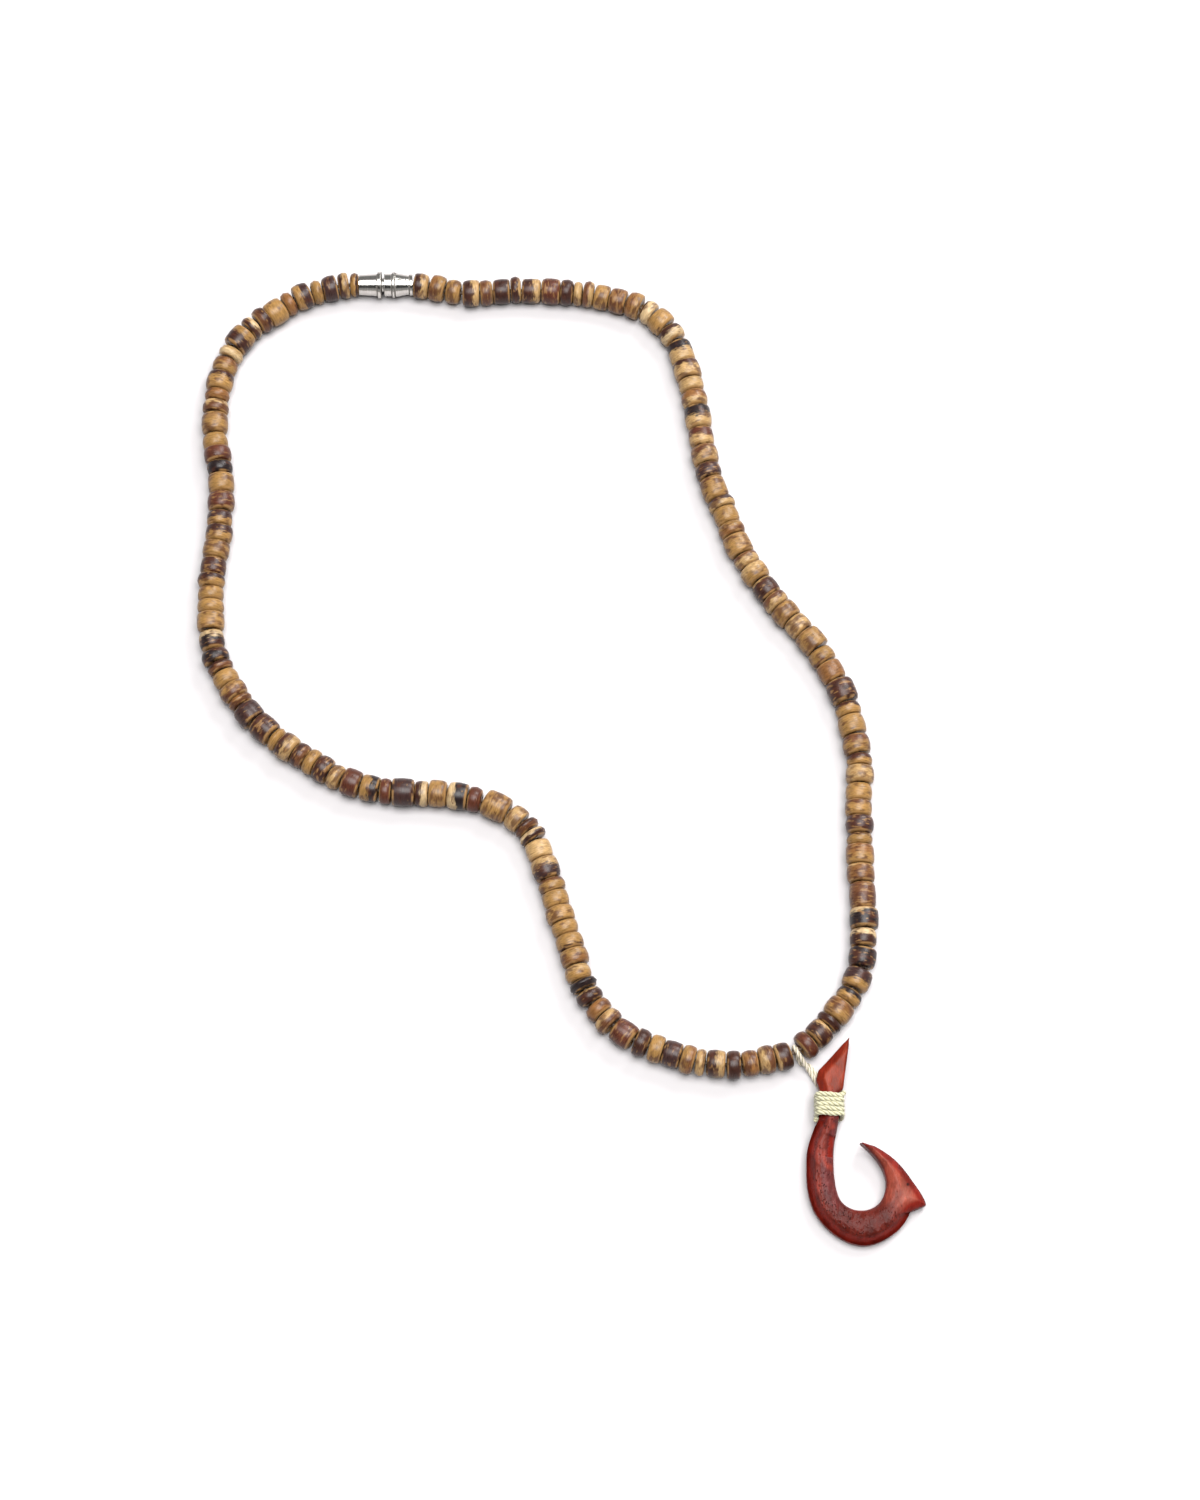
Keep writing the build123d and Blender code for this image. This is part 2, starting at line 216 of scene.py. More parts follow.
def bead_places(node, start):
    """Each bead's middle, direction, width and diameter, in order from the one nearest to start.

    A bead lies along the line between its neighbours, turned by the few degrees that make it
    slimmest, and its diameter is its height."""
    points, solid = solids_of(node)
    order = np.argsort(solid, kind="stable")
    points, solid = points[order], solid[order]
    firsts = np.searchsorted(solid, np.arange(solid[-1] + 1))
    low, high = np.minimum.reduceat(points, firsts), np.maximum.reduceat(points, firsts)
    middles = (low + high) / 2
    left, here, path = list(range(len(middles))), np.array(start), []
    while left:
        nearest = min(left, key=lambda i: np.sum((middles[i] - here) ** 2))
        left.remove(nearest)
        path.append(nearest)
        here = middles[nearest]
    chords = np.zeros_like(middles)
    chords[path] = np.gradient(middles[path], axis=0)
    heading = np.arctan2(chords[:, 1], chords[:, 0])
    best, width = heading.copy(), np.full(len(middles), np.inf)
    most_turn, turns_tried = 12, 49
    for turn in np.radians(np.linspace(-most_turn, most_turn, turns_tried)):
        way = np.column_stack([np.cos(heading + turn), np.sin(heading + turn)])[solid]
        along = np.sum(points[:, :2] * way, axis=1)
        extent = np.maximum.reduceat(along, firsts) - np.minimum.reduceat(along, firsts)
        best = np.where(extent < width, heading + turn, best)
        width = np.minimum(extent, width)
    direction = np.column_stack([np.cos(best), np.sin(best), 0 * best])
    return middles[path], direction[path], width[path], (high - low)[path, 2]


def grid_faces(rows, columns, close_rows):
    """The four-sided faces of a grid whose columns close on themselves, and its rows if asked."""
    row, column = np.mgrid[0 : rows if close_rows else rows - 1, 0:columns]
    down, across = (row + 1) % rows, (column + 1) % columns
    corners = [row * columns + column, row * columns + across]
    corners += [down * columns + across, down * columns + column]
    return np.stack(corners, axis=-1).reshape(-1, 4)


def new_piece(name, points, faces, material):
    """A smooth mesh object of four-sided faces that rides on the part, in a finish of its slot."""
    mesh = bpy.data.meshes.new(name)
    mesh.vertices.add(len(points))
    mesh.vertices.foreach_set("co", np.asarray(points, np.float32).ravel())
    mesh.loops.add(faces.size)
    mesh.loops.foreach_set("vertex_index", faces.astype(np.int32).ravel())
    mesh.polygons.add(len(faces))
    mesh.polygons.foreach_set("loop_start", np.arange(0, faces.size, 4, dtype=np.int32))
    mesh.polygons.foreach_set("use_smooth", np.ones(len(faces), bool))
    mesh.update(calc_edges=True)
    mesh.validate()
    mesh.materials.append(material)
    piece = bpy.data.objects.new(name, mesh)
    bpy.context.scene.collection.objects.link(piece)
    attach(piece, "root")
    return piece


def paint(piece, name, values):
    """Keeps one colour (four values) or vector (three) for each point of a piece."""
    kind, key = ("FLOAT_COLOR", "color") if values.shape[1] == 4 else ("FLOAT_VECTOR", "vector")
    layer = piece.data.attributes.new(name, kind, "POINT")
    layer.data.foreach_set(key, np.ascontiguousarray(values, np.float32).ravel())


def string_of_beads(name, node, places, chart, seed, material):
    """All beads of one string as one mesh.

    Each bead is a profile turned about its own axis: a flat end from the bore out, a rounded rim,
    a side that bulges a little, and the same again back to the bore. Rims, ends and tilt differ a
    little from bead to bead."""
    middles, direction, width, diameter = places
    count = len(middles)
    dice = np.random.default_rng(seed)
    width = width + bead_touch
    rounding = np.minimum(bead_rounding, bead_rounding_share * width)
    round_start, round_end = rounding * dice.uniform(0.6, 1.3, (2, count))
    radius_start, radius_end = diameter / 2 * dice.uniform(*bead_end_share, (2, count))
    half, corner = width / 2, 1 - math.sqrt(0.5)
    along = np.column_stack([
        -half, -half, -half + corner * round_start, -half + round_start, 0 * half,
        half - round_end, half - corner * round_end, half, half,
    ])
    out = np.column_stack([
        0 * half + bead_bore, radius_start - round_start, radius_start - corner * round_start,
        radius_start, diameter / 2, radius_end, radius_end - corner * round_end,
        radius_end - round_end, 0 * half + bead_bore,
    ])
    angle = np.linspace(0, 2 * math.pi, bead_sides, endpoint=False)
    tilt = dice.uniform(-bead_tilt, bead_tilt, (2, count))
    shift = dice.uniform(-bead_shift, bead_shift, (count, 1))
    middles = middles + shift * np.cross(direction, (0, 0, 1))
    up = np.array([0, 0, 1]) + tilt[0][:, None] * direction
    side = np.cross(np.array([0, 0, 1]), direction) + tilt[1][:, None] * direction
    around = np.cos(angle)[None, :, None] * up[:, None] + np.sin(angle)[None, :, None] * side[:, None]
    points = middles[:, None, None] + along[:, :, None, None] * direction[:, None, None]
    points = points + out[:, :, None, None] * around[:, None]
    rings = along.shape[1]
    one = grid_faces(rings, bead_sides, True)
    first_point = np.arange(count) * rings * bead_sides
    faces = (one[None] + first_point[:, None, None]).reshape(-1, 4)
    piece = new_piece(name, points.reshape(-1, 3), faces[:, ::-1], material)
    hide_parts(node)

    each = np.ones((count, rings, bead_sides, 1))
    share = np.clip(along / width[:, None] + 0.5, 0, 1)[:, :, None, None] * each
    turned = np.concatenate([
        (along * 1000 + bead_apart * np.arange(count)[:, None])[:, :, None, None] * each,
        (out * 1000)[:, :, None, None] * np.cos(angle)[None, None, :, None] * each,
        (out * 1000)[:, :, None, None] * np.sin(angle)[None, None, :, None] * each,
    ], axis=-1)
    paint(piece, "turned", turned.reshape(-1, 3))
    start, end, split, flecks = chart
    for layer, letters in (("start_tone", start), ("end_tone", end)):
        colours = np.array([[*linear(tones[letter]), 1] for letter in letters])
        colours[:, :3] *= bead_darkening * dice.uniform(0.88, 1.12, (count, 1))
        paint(piece, layer, (colours[:, None, None] * each).reshape(-1, 4))
    layout = [share]
    for digits in (split, flecks):
        tenths = np.array([int(digit) for digit in digits]) / 10
        layout.append(tenths[:, None, None, None] * each)
    paint(piece, "layout", np.concatenate(layout, axis=-1).reshape(-1, 3))


def group_of(name, inputs, outputs):
    """A new shader node group with named sockets: (group, nodes, links, its inputs, its outputs)."""
    group = bpy.data.node_groups.new(name, "ShaderNodeTree")
    for way, sockets in (("INPUT", inputs), ("OUTPUT", outputs)):
        for label, kind in sockets:
            group.interface.new_socket(label, in_out=way, socket_type="NodeSocket" + kind)
    nodes, links = group.nodes, group.links
    return group, nodes, links, nodes.new("NodeGroupInput"), nodes.new("NodeGroupOutput")


def math_node(nodes, links, operation, first, second=0.0):
    """The result of a Math node on one or two sockets or numbers."""
    node = nodes.new("ShaderNodeMath")
    node.operation = operation
    for socket, value in zip(node.inputs, (first, second)):
        if isinstance(value, (int, float)):
            socket.default_value = value
        else:
            links.new(value, socket)
    return node.outputs[0]


def stretched_noise(nodes, links, vector, scale, detail, roughness=0.55):
    """Noise on a vector in millimetres that is first scaled along each of its axes."""
    mapping = nodes.new("ShaderNodeMapping")
    mapping.inputs["Scale"].default_value = scale
    noise = nodes.new("ShaderNodeTexNoise")
    noise.inputs["Scale"].default_value = 1.0
    noise.inputs["Detail"].default_value = detail
    noise.inputs["Roughness"].default_value = roughness
    links.new(vector, mapping.inputs["Vector"])
    links.new(mapping.outputs[0], noise.inputs["Vector"])
    return noise.outputs["Fac"]


def ranged(nodes, links, value, low, high, to_low=0.0, to_high=1.0):
    """A value's range mapped to another, with an eased middle."""
    node = nodes.new("ShaderNodeMapRange")
    node.interpolation_type = "SMOOTHSTEP"
    for socket, number in zip(node.inputs[1:5], (low, high, to_low, to_high)):
        socket.default_value = number
    links.new(value, node.inputs["Value"])
    return node.outputs[0]


def blended(nodes, links, share, first, second, way="MIX"):
    """Two colours mixed by a share that changes over the surface."""
    node = nodes.new("ShaderNodeMix")
    node.data_type = "RGBA"
    node.blend_type = way
    for socket, value in ((node.inputs[0], share), (node.inputs[6], first), (node.inputs[7], second)):
        if isinstance(value, (int, float)):
            socket.default_value = value
        elif isinstance(value, (tuple, np.ndarray)):
            socket.default_value = (*value[:3], 1)
        else:
            links.new(value, socket)
    return node.outputs[2]


def layer_of(nodes, name):
    """The node that reads a layer painted on the piece."""
    node = nodes.new("ShaderNodeAttribute")
    node.attribute_name = name
    return node


def add_bumps(nodes, links, shader, height, strength, distance):
    """Raises and sinks the surface's shading by a height."""
    bump = nodes.new("ShaderNodeBump")
    bump.inputs["Strength"].default_value = strength
    bump.inputs["Distance"].default_value = distance
    links.new(height, bump.inputs["Height"])
    links.new(bump.outputs["Normal"], shader.inputs["Normal"])


# Grain of sawn and turned wood, for the beads and the hook: streaks along the fibres, and pores
wood_grain, nodes, links, given, gives = group_of(
    "wood_grain", [("Place", "Vector"), ("Pore size", "Float")],
    [("Streaks", "Float"), ("Pores", "Float"), ("Height", "Float")],
)
streaks = stretched_noise(nodes, links, given.outputs["Place"], (7.0, 0.9, 0.9), 4, 0.6)
cells = nodes.new("ShaderNodeTexVoronoi")
cells.inputs["Scale"].default_value = 2.2
links.new(given.outputs["Place"], cells.inputs["Vector"])
near = math_node(nodes, links, "SUBTRACT", given.outputs["Pore size"], cells.outputs["Distance"])
pores = ranged(nodes, links, near, 0.0, 0.14)
patches = stretched_noise(nodes, links, given.outputs["Place"], (0.6, 0.6, 0.6), 2)
pores = math_node(nodes, links, "MULTIPLY", pores, ranged(nodes, links, patches, 0.44, 0.54))
raised = math_node(nodes, links, "SUBTRACT", streaks, pores)
links.new(streaks, gives.inputs["Streaks"])
links.new(pores, gives.inputs["Pores"])
links.new(raised, gives.inputs["Height"])


def grain_at(nodes, links, place, pore_size):
    """The wood's grain, read at a place in millimetres."""
    grain = nodes.new("ShaderNodeGroup")
    grain.node_tree = wood_grain
    grain.inputs["Pore size"].default_value = pore_size
    links.new(place, grain.inputs["Place"])
    return grain


bead_material, nodes, links, shader = new_material("turned_bead")
turned, layout = layer_of(nodes, "turned"), layer_of(nodes, "layout")
grain = grain_at(nodes, links, turned.outputs["Vector"], 0.16)
parts = nodes.new("ShaderNodeSeparateXYZ")
links.new(layout.outputs["Vector"], parts.inputs[0])
# The edge between a bead's two tones runs in long waves with short frays
edge = math_node(nodes, links, "SUBTRACT", parts.outputs["X"], parts.outputs["Y"])
for scale, detail in (((0.4, 0.32, 0.32), 1), ((3.5, 0.8, 0.8), 3)):
    wander = stretched_noise(nodes, links, turned.outputs["Vector"], scale, detail)
    wander = math_node(nodes, links, "SUBTRACT", wander, 0.5)
    edge = math_node(nodes, links, "ADD", edge, math_node(nodes, links, "MULTIPLY", wander, 0.7))
tone = blended(
    nodes, links, ranged(nodes, links, edge, -0.09, 0.09),
    layer_of(nodes, "start_tone").outputs["Color"], layer_of(nodes, "end_tone").outputs["Color"],
)
# Fibres darker and lighter than the tone, dark stains on pale wood, pale flecks on dark wood
streaky = ranged(nodes, links, grain.outputs["Streaks"], 0.3, 0.7, 0.66, 1.34)
tone = blended(nodes, links, 1.0, tone, streaky, "MULTIPLY")
fleck_share = math_node(nodes, links, "MULTIPLY", parts.outputs["Z"], 0.2)
stain = stretched_noise(nodes, links, turned.outputs["Vector"], (0.85, 0.4, 0.4), 3, 0.5)
stain = ranged(nodes, links, math_node(nodes, links, "ADD", stain, fleck_share), 0.57, 0.70, 0.0, 0.75)
tone = blended(nodes, links, stain, tone, linear("402217"))
fleck = stretched_noise(nodes, links, turned.outputs["Vector"], (2.1, 0.6, 0.6), 3, 0.5)
fleck = ranged(nodes, links, math_node(nodes, links, "ADD", fleck, fleck_share), 0.66, 0.76, 0.0, 0.8)
tone = blended(nodes, links, fleck, tone, linear("7e5d39"))
# The rims are worn down to pale wood in places
rim = math_node(nodes, links, "ABSOLUTE", math_node(nodes, links, "SUBTRACT", parts.outputs["X"], 0.5))
worn = stretched_noise(nodes, links, turned.outputs["Vector"], (0.5, 0.5, 0.5), 2)
worn = math_node(nodes, links, "MULTIPLY", ranged(nodes, links, worn, 0.38, 0.56, 0.0, 0.85),
                 ranged(nodes, links, rim, 0.36, 0.44))
tone = blended(nodes, links, worn, tone, linear("8d6b42"))
links.new(tone, shader.inputs["Base Color"])
links.new(ranged(nodes, links, grain.outputs["Streaks"], 0.3, 0.7, 0.26, 0.38), shader.inputs["Roughness"])
shader.inputs["Specular IOR Level"].default_value = 0.28
add_bumps(nodes, links, shader, grain.outputs["Height"], 0.5, 0.00008)

right_places = bead_places(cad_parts["bead_string_right"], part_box("clasp_screw")[1])
# The left string is found from the clasp back, and then turned round to run on from the right one
left_found = bead_places(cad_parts["bead_string_left"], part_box("clasp_socket")[0])
left_places = [values[::-1] for values in left_found]
left_places[1] = -left_places[1]
right_chart = (right_start, right_end, right_split, right_flecks)
left_chart = (left_start, left_end, left_split, left_flecks)
string_of_beads("beads_right", "bead_string_right", right_places, right_chart, 3, bead_material)
string_of_beads("beads_left", "bead_string_left", left_places, left_chart, 5, bead_material)

# Thread
# One waxed thread runs through every bead and is knotted in both halves of the clasp. Little of it
# shows between the beads.


def millimetres(nodes, links):
    """The place on the object, in millimetres."""
    place = nodes.new("ShaderNodeTexCoord")
    scaled = nodes.new("ShaderNodeVectorMath")
    scaled.operation = "SCALE"
    scaled.inputs["Scale"].default_value = 1000
    links.new(place.outputs["Object"], scaled.inputs[0])
    return scaled.outputs[0]


def finish_node(name, material):
    """Gives a CAD node, carried over as it is, one material."""
    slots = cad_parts[name].data.materials
    slots.clear()
    slots.append(material)


thread_material, nodes, links, shader = new_material("waxed_thread")
in_mm = millimetres(nodes, links)
twist = stretched_noise(nodes, links, in_mm, (6, 6, 6), 2)
links.new(blended(nodes, links, twist, linear("3d3026"), linear("6a5644")), shader.inputs["Base Color"])
shader.inputs["Roughness"].default_value = 0.6
finish_node("stringing_cord", thread_material)

# Clasp
# A small screw clasp of plated brass: a flared barrel on the left, a collar and a tapered barrel on
# the right. Bright plate, with the fine rings that the lathe left and a few hairline scratches.

# Along the clasp, in millimetres: beside the flange, the collar, the rim and the end ring
clasp_seams = (-33.3, -32.5, -32.0, -30.45, -29.85, -27.1)

silver_material, nodes, links, shader = new_material("bright_silver")
in_mm = millimetres(nodes, links)
rings = stretched_noise(nodes, links, in_mm, (9, 0.4, 0.4), 3)
scratches = stretched_noise(nodes, links, in_mm, (1.2, 14, 14), 2)
wear = math_node(nodes, links, "MULTIPLY", rings, scratches)
# Painted shade: the plate is darker, and rougher, in the corners at the seams
along_clasp = nodes.new("ShaderNodeSeparateXYZ")
links.new(in_mm, along_clasp.inputs[0])
seam_shade = 0.0
for seam in clasp_seams:
    off = math_node(nodes, links, "SUBTRACT", along_clasp.outputs["X"], seam)
    off = ranged(nodes, links, math_node(nodes, links, "ABSOLUTE", off), 0.04, 0.2, 0.8, 0.0)
    seam_shade = math_node(nodes, links, "MAXIMUM", off, seam_shade)
plate = blended(nodes, links, ranged(nodes, links, rings, 0.3, 0.7), linear("bdb9b3"), linear("d2cfca"))
# the plate's colour is darkened at the seams as painted shade
links.new(blended(nodes, links, seam_shade, plate, linear("4a433c")), shader.inputs["Base Color"])
rough = math_node(nodes, links, "ADD", ranged(nodes, links, wear, 0.15, 0.45, 0.1, 0.22), seam_shade)
links.new(rough, shader.inputs["Roughness"])
shader.inputs["Metallic"].default_value = 1.0
add_bumps(nodes, links, shader, rings, 0.35, 0.00002)
for half in ("clasp_socket", "clasp_screw"):
    finish_node(half, silver_material)

# Hook
# Carved from a flat piece of dark red hardwood, sanded and oiled. Its top shows open pores; its
# outer edge is bevelled, and a ridge runs along its point to the barb.

# It is lifted by the cord under it, with its gap, where the lashing's foot is. The rest of this
# section measures in millimetres across the hook, along it from the bow's lowest point, and up.
cord_lift = 0.93
lashing_foot = 22.557
head_tip = (-1.6, 36.9)
point_tip = (-0.2, 18.1)
barb_tip = (10.9, 7.23)
worn_cell = 0.00017
worn_passes = 6
hook_tilt = math.asin(cord_lift / lashing_foot)
hook_origin = np.array([0.0553012, -0.0944119, 0])
hook_axes = np.array([
    [1, 0, 0],
    [0, math.cos(hook_tilt), math.sin(hook_tilt)],
    [0, -math.sin(hook_tilt), math.cos(hook_tilt)],
])


def worn_copy(node, cell, passes):
    """The points and faces of a CAD node with its edges worn round, in small even faces.

    A copy is merged and cut into cubes of one size, and each point then moves, a few times over,
    towards the middle of its neighbours."""
    worn = bpy.data.objects.new("worn", node.data.copy())
    bpy.context.scene.collection.objects.link(worn)
    worn.modifiers.new("merge", "WELD").merge_threshold = 1e-6
    cut = worn.modifiers.new("cut", "REMESH")
    cut.mode = "VOXEL"
    cut.voxel_size = cell
    soften = worn.modifiers.new("soften", "SMOOTH")
    soften.factor = 0.5
    soften.iterations = passes
    bpy.context.view_layer.update()
    mesh = bpy.data.meshes.new_from_object(
        worn.evaluated_get(bpy.context.evaluated_depsgraph_get()))
    bpy.data.objects.remove(worn)
    points, corners = points_and_corners(mesh)
    return points, corners.reshape(-1, 4)


def eased(value, low, high):
    """0 below low, 1 above high, with an eased middle."""
    share = np.clip((value - low) / (high - low), 0, 1)
    return share * share * (3 - 2 * share)


points, faces = worn_copy(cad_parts["fish_hook"], worn_cell, worn_passes)
across, along, up = ((points - hook_origin) @ hook_axes.T * 1000).T
# Wearing the edges has shortened the three tips: each is drawn out again to where it was
for tip_across, tip_along in (head_tip, point_tip, barb_tip):
    off = np.hypot(across - tip_across, along - tip_along)
    end = np.argmin(off)
    pull = np.clip(1 - np.hypot(across - across[end], along - along[end]) / 6, 0, 1) ** 1.5
    shift = np.array([tip_across - across[end], tip_along - along[end]])
    across, along = across + pull * shift[0], along + pull * shift[1]
# The head's point and the hook's point narrow to a sharp end
for tip, reach, lean in ((head_tip, 1.6, (-0.42, -1.0)), (point_tip, 2.4, (1.0, -0.75))):
    inward = np.array(lean) / math.hypot(*lean)
    off_across, off_along = across - tip[0], along - tip[1]
    depth = off_across * inward[0] + off_along * inward[1]
    aside = off_along * inward[0] - off_across * inward[1]
    narrower = np.clip(depth / reach, 0.02, 1) ** 0.45 - 1
    narrower = np.where(np.hypot(off_across, off_along) < reach + 0.5, narrower, 0)
    across = across - inward[1] * aside * narrower
    along = along + inward[0] * aside * narrower
# The bow sits a little higher
along = along + 0.27 * (1 - eased(along, 8, 14)) * (1 - eased(across, 4, 8))
# Below the lashing the shank's outer side is fuller
fuller = eased(along, 13.5, 20) * (0.7 - 0.45 * eased(along, 20.5, 22.6)) * (along < 23)
fuller *= np.clip((-3.9 - across) / 3.2, 0, 1)
across = across - fuller
points = hook_origin + np.column_stack([across, along, up]) @ hook_axes / 1000
# A third of the points in a band round its walls stand for its outline, outer and inner side apart
wall = np.flatnonzero((up > 0.9) & (up < 1.5))[::3]
bow = np.hypot(across[wall] + 0.4, along[wall] - 11) > 6.2
shank = across[wall] < -5.44 + np.clip((along[wall] - 27) * 0.4, 0, None)
on_outer = np.where(along[wall] > 19, shank, bow)


def distance_to(some):
    """How far each point is from the nearest of some points of the hook's outline, and which."""
    square = (across[:, None] - across[some]) ** 2 + (along[:, None] - along[some]) ** 2
    return np.sqrt(np.min(square, axis=1)), some[np.argmin(square, axis=1)]


# Its top slopes down to its edges: by a bevel all round but the head, outwards from a ridge on the
# point's side, and below the shank widely on the outer side and less widely on the inner one
from_outer, nearest = distance_to(wall[on_outer])
from_inner = distance_to(wall[~on_outer])[0]
away = np.minimum(from_outer, from_inner)
outer = from_outer < from_inner
lobe = outer & (across[nearest] > 0) & (along[nearest] > 7.4)
ridge = 2.5 * eased(across[nearest], -1, 6)
top = eased(up, 1.9, 2.5)
drop = 0.3 * np.clip(1 - away / 1.7, 0, None) ** 2 * (1 - eased(along, 28, 32))
drop += np.where(lobe, 0.5 * np.clip(ridge - away, 0, None), 0)
drop += np.where(outer & ~lobe & (along < 22), 0.13 * np.clip(3 - away, 0, None) ** 2, 0)
drop += np.where(~outer & (along < 22), 0.16 * np.clip(2.2 - away, 0, None) ** 2, 0)
points -= (drop * top / 1000)[:, None] * hook_axes[2]

hook_material, nodes, links, shader = new_material("red_hardwood")
in_mm = millimetres(nodes, links)
along_grain = nodes.new("ShaderNodeMapping")
along_grain.inputs["Rotation"].default_value = (0, 0, math.radians(8))
along_grain.inputs["Scale"].default_value = (1.15, 0.8, 1.15)
links.new(in_mm, along_grain.inputs["Vector"])
grain = grain_at(nodes, links, along_grain.outputs[0], 0.34)
carved = layer_of(nodes, "carved")
clouds = stretched_noise(nodes, links, in_mm, (0.5, 0.3, 0.5), 4)
clouds = ranged(nodes, links, clouds, 0.35, 0.65, 0.74, 1.26)
tone = blended(nodes, links, 1.0, carved.outputs["Color"], clouds, "MULTIPLY")
streaky = ranged(nodes, links, grain.outputs["Streaks"], 0.35, 0.7, 0.85, 1.2)
tone = blended(nodes, links, 1.0, tone, streaky, "MULTIPLY")
pitted = math_node(nodes, links, "MULTIPLY", grain.outputs["Pores"], carved.outputs["Alpha"])
tone = blended(nodes, links, math_node(nodes, links, "MULTIPLY", pitted, 0.75), tone, linear("290d0c"))
links.new(tone, shader.inputs["Base Color"])
links.new(ranged(nodes, links, grain.outputs["Streaks"], 0.3, 0.7, 0.3, 0.42), shader.inputs["Roughness"])
shader.inputs["Specular IOR Level"].default_value = 0.1
lumps = stretched_noise(nodes, links, in_mm, (1.3, 0.9, 1.3), 2)
lumps = math_node(nodes, links, "MULTIPLY", lumps, carved.outputs["Alpha"])
raised = math_node(nodes, links, "ADD", clouds, lumps)
raised = math_node(nodes, links, "SUBTRACT", raised, pitted)
add_bumps(nodes, links, shader, raised, 0.8, 0.00025)

carved_hook = new_piece("carved_hook", points, faces, hook_material)
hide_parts("fish_hook")
# Where each tone of the wood, and each painted shade, sheen and highlight, lies, as shares from 0 to 1
head_share = eased(along, 26, 28)
# The lobe's lighter orange-red: partly the wood's tone, partly a painted highlight
lobe_share = eased(across, 1.5, 4.5) * eased(along, 5, 9)
lobe_share = np.maximum(lobe_share, eased(across, -1.5, 0.5) * eased(along, 11, 13))
low_share = eased(-along, -10, -3.5) * (1 - eased(across, 3, 7))
# The bevel and the walls in a darker red: partly edge grain, partly painted shade
edge_grain_and_shade_share = np.where(outer, 1 - eased(away, 0.9, 1.5), 1 - eased(away, 0.1, 0.4))
edge_grain_and_shade_share = np.maximum(edge_grain_and_shade_share, 1 - top)
# The shank's greyish pink top: purplish wood with a painted sheen laid into it
shank_share = eased(-across, 2.5, 4.5) * eased(along, 3, 7)
# A lighter stripe along the shank's bevel: partly the wood's tone, partly a painted highlight
stripe_share = eased(from_outer, 1.2, 1.7) * (1 - eased(from_outer, 2.0, 2.7)) * shank_share
# A painted highlight: a paler line along the ridge of the point's lobe
ridge_highlight_share = 0.6 * lobe_share * np.clip(1 - np.abs(away - ridge) / 0.8, 0, 1) * outer
dot_share = eased(-np.hypot(across - 7.78, along - 10.68), -0.38, -0.16) * top
edge_grain_and_shade_tone = linear("62170f") + (linear("641c0f") - linear("62170f")) * head_share[:, None]
tone = np.broadcast_to(linear("5f251f"), points.shape)
# The tones laid over one another: the shank, stripe, lobe and ridge carry painted sheen and highlights,
# the bevel and walls painted shade
for laid_over, share in (
    (linear("542625"), shank_share), (linear("6a2a22"), stripe_share), (linear("743428"), lobe_share),
    (linear("945243"), ridge_highlight_share), (linear("6f2b1b"), head_share), (linear("46140d"), low_share),
    (edge_grain_and_shade_tone, edge_grain_and_shade_share), (linear("2a1210"), dot_share),
):
    tone = tone + (laid_over - tone) * share[:, None]
pits = (1 - head_share) * (1 - 0.85 * lobe_share) * (1 - 0.9 * edge_grain_and_shade_share)
paint(carved_hook, "carved", np.column_stack([tone, pits]))

# Lashing
# Pale three-strand cord wound five times round the shank, side by side, its ends tucked under.

lashing_turns = 5
lashing_pitch = 0.00082
lashing_cord = 0.00085
lashing_fullness = 1.05
strand_lay = 0.0027
cord_sides = 18
cord_step = 0.00009
ring_width = 3.55 + 0.85  # one turn's, in millimetres: round the shank with its play, and the cord
ring_height = 3.76 + 0.85


def twisted_cord(path, diameter, lay, pale, ups=None):
    """A tube of three strands round a path of points.

    The section is a circle whose radius dips between three lobes, and the lobes turn once round in
    each lay of length. The section's upward way is the part of the one given, or else of the last
    section's, that stands square to the path. Each point keeps how pale the cord is, how far it is
    out of the groove between two strands, and nothing in a vector's third place."""
    step = np.linalg.norm(np.diff(path, axis=0), axis=1)
    length = np.concatenate([[0], np.cumsum(step)])
    tangent = np.gradient(path, axis=0)
    tangent /= np.linalg.norm(tangent, axis=1)[:, None]
    if ups is None:
        up = np.cross(tangent[0], (0.3, 0.5, 0.8))
        ups = np.empty_like(path)
        for i, way in enumerate(tangent):
            up = up - way * np.dot(up, way)
            up = up / np.linalg.norm(up)
            ups[i] = up
    ups = ups - tangent * np.sum(ups * tangent, axis=1)[:, None]
    ups /= np.linalg.norm(ups, axis=1)[:, None]
    sides = np.cross(tangent, ups)
    angle = np.linspace(0, 2 * math.pi, cord_sides, endpoint=False)
    lobe = np.abs(np.cos(1.5 * (angle[None] - 2 * math.pi * length[:, None] / lay)))
    radius = diameter / 2 * (0.6 + 0.4 * lobe**0.8)
    radius[0] = radius[-1] = 0.15 * diameter
    points = path[:, None] + radius[:, :, None] * (
        np.cos(angle)[None, :, None] * ups[:, None] + np.sin(angle)[None, :, None] * sides[:, None]
    )
    laid = np.stack([np.full(lobe.shape, pale), lobe, 0 * lobe], axis=-1)
    third = np.arange(1, len(angle) - 2, 2)
    end = np.column_stack([0 * third, third, third + 1, third + 2])
    sheath = grid_faces(len(path), len(angle), False)
    faces = np.vstack([sheath, end[:, ::-1], end + (len(path) - 1) * len(angle)])
    return points.reshape(-1, 3), faces, laid.reshape(-1, 3)


def spread_evenly(points, step):
    """Points at even steps along the runs between the given ones."""
    length = np.concatenate([[0], np.cumsum(np.linalg.norm(np.diff(points, axis=0), axis=1))])
    even = np.linspace(0, length[-1], int(length[-1] / step))
    return np.column_stack([np.interp(even, length, points[:, axis]) for axis in range(3)])


cord_material, nodes, links, shader = new_material("pale_cord")
laid = layer_of(nodes, "laid")
in_mm = millimetres(nodes, links)
parts = nodes.new("ShaderNodeSeparateXYZ")
links.new(laid.outputs["Vector"], parts.inputs[0])
fibres = stretched_noise(nodes, links, in_mm, (9, 9, 9), 3)
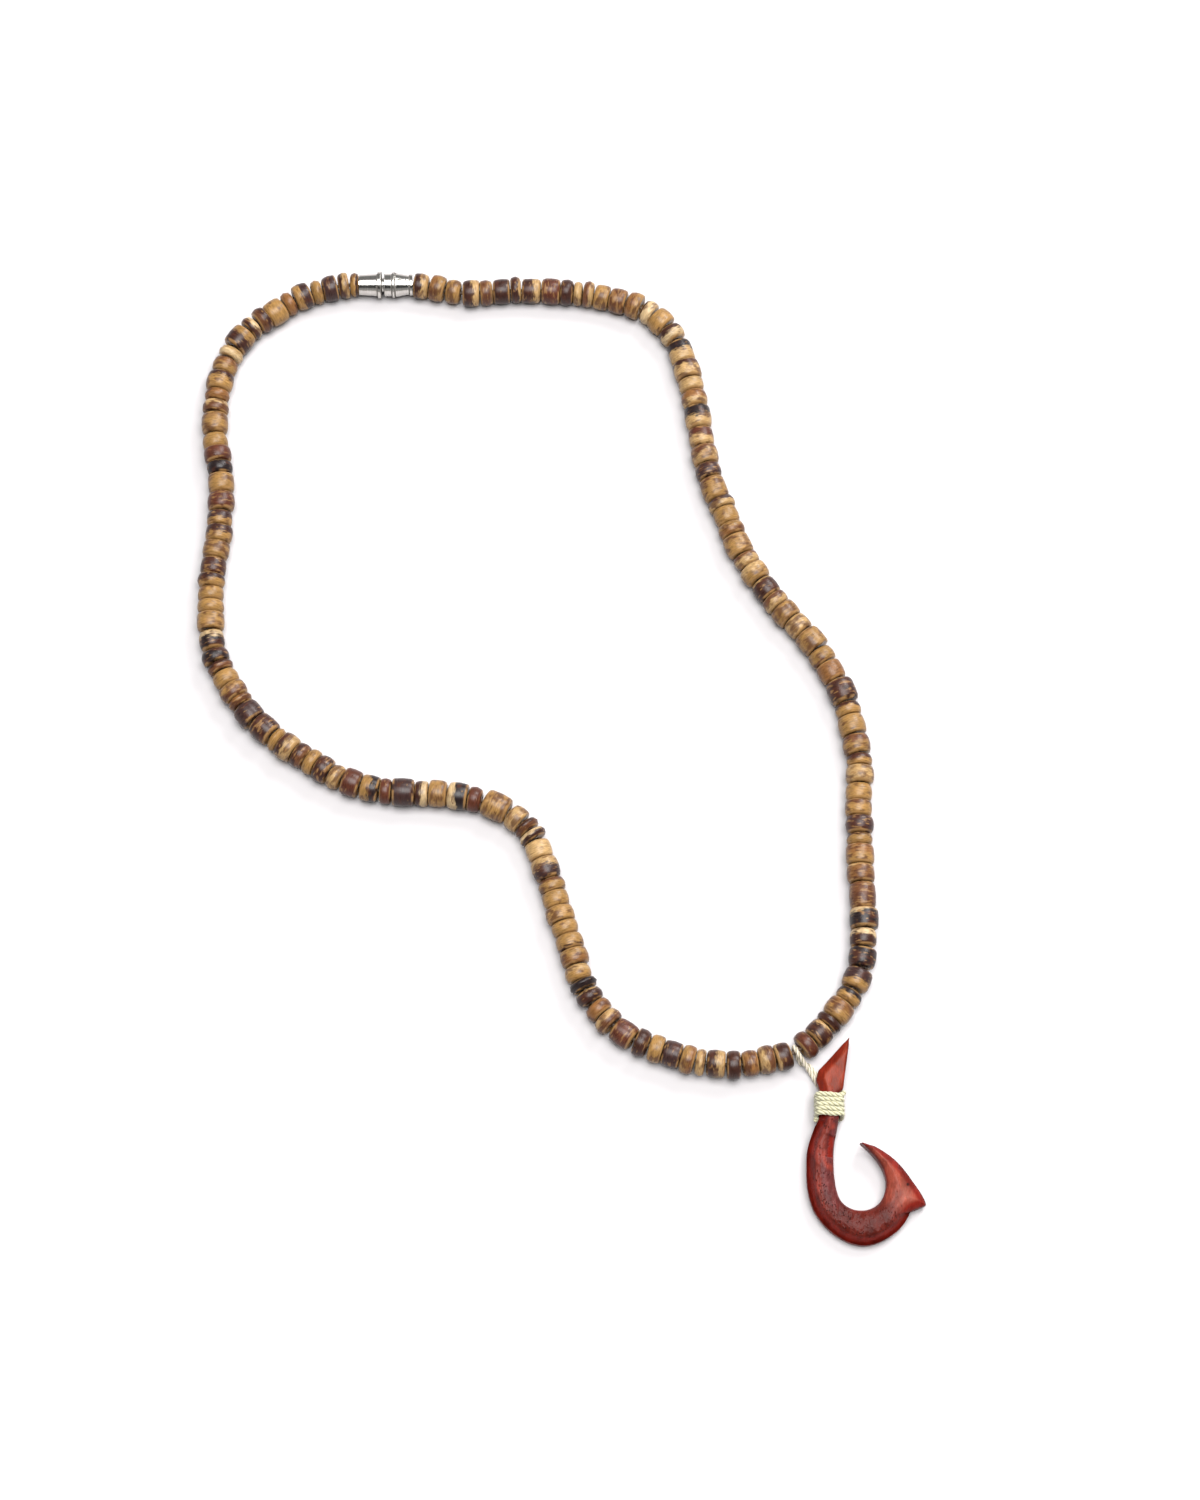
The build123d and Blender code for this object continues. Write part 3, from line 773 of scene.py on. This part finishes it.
# Painted shade: the cord is darker in the grooves between its strands
shaded = ranged(nodes, links, parts.outputs["Y"], 0.1, 0.8)
paler = blended(nodes, links, parts.outputs["X"], linear("b7b493"), linear("cabfae"))
tone = blended(nodes, links, shaded, linear("726b48"), paler)
tone = blended(nodes, links, ranged(nodes, links, fibres, 0.45, 0.8), tone, linear("bab7a4"))
links.new(tone, shader.inputs["Base Color"])
shader.inputs["Roughness"].default_value = 0.75
shader.inputs["Sheen Weight"].default_value = 0.2
add_bumps(nodes, links, shader, fibres, 0.6, 0.00005)

low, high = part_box("lashing")
coil_middle = (np.array(low) + np.array(high)) / 2
coil_across, coil_along, coil_up = hook_axes
coil_half_width = (high.x - low.x) / 2 - lashing_cord / 2
coil_half_height = coil_half_width * ring_height / ring_width
turn = np.linspace(-0.5, lashing_turns, 1000) * 2 * math.pi
rise = (turn / (2 * math.pi) - (lashing_turns - 0.5) / 2) * lashing_pitch
# Wound by hand, so its turns waver a little
rise += 0.00004 * np.sin(3.3 * turn) + 0.00003 * np.sin(7.1 * turn + 1)
# The coil follows a squared-off ring, |x/a|^6 + |y/b|^6 = 1, and rises by one pitch in each turn
ring = (np.abs(np.cos(turn)) ** 6 + np.abs(np.sin(turn)) ** 6) ** (-1 / 6)
coil_path = coil_middle + (
    (coil_half_width * ring * np.cos(turn))[:, None] * coil_across
    + (coil_half_height * ring * np.sin(turn))[:, None] * coil_up
    + rise[:, None] * coil_along
)
# Its first end sticks out at the lower left and its last end at the upper right
first_stub = coil_path[0] + np.array([[-0.6], [-0.3]]) * coil_across / 1000 - 0.0002 * coil_along
last_stub = coil_path[-1] + np.array([[0.35], [0.8]]) * coil_across / 1000 + 0.0001 * coil_along
coil_path = spread_evenly(np.vstack([first_stub, coil_path, last_stub]), cord_step)
points, faces, laid = twisted_cord(
    coil_path, lashing_cord * lashing_fullness, strand_lay, 0.0,
    np.broadcast_to(coil_along, coil_path.shape),
)
whipping = new_piece("whipping", points, faces, cord_material)
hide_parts("lashing")
paint(whipping, "laid", laid)

# Hanging loop
# The same cord, doubled: it comes from under the hook's head, goes over the thread between two
# beads and back under the head, where both legs end at the lashing.

loop_lay = 0.0031
loop_softenings = 24
hanging_points = np.array([
    (49.13, -67.43, 0.61), (47.1, -63.87, 0.75), (44.7, -60.79, 3.48), (43.89, -59.28, 3.48),
    (43.89, -59.28, 1.77), (45.3, -61.95, 0.5), (46.55, -61.9, 0.5), (48.55, -64.6, 0.62),
    (50.1, -67.43, 0.61),
]) / 1000
hanging_path = spread_evenly(hanging_points, cord_step)
for _ in range(loop_softenings):
    hanging_path[1:-1] = (hanging_path[:-2] + hanging_path[2:]) / 2
points, faces, laid = twisted_cord(hanging_path, lashing_cord, loop_lay, 1.0)
hanger = new_piece("hanger", points, faces, cord_material)
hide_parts("hanging_loop")
paint(hanger, "laid", laid)
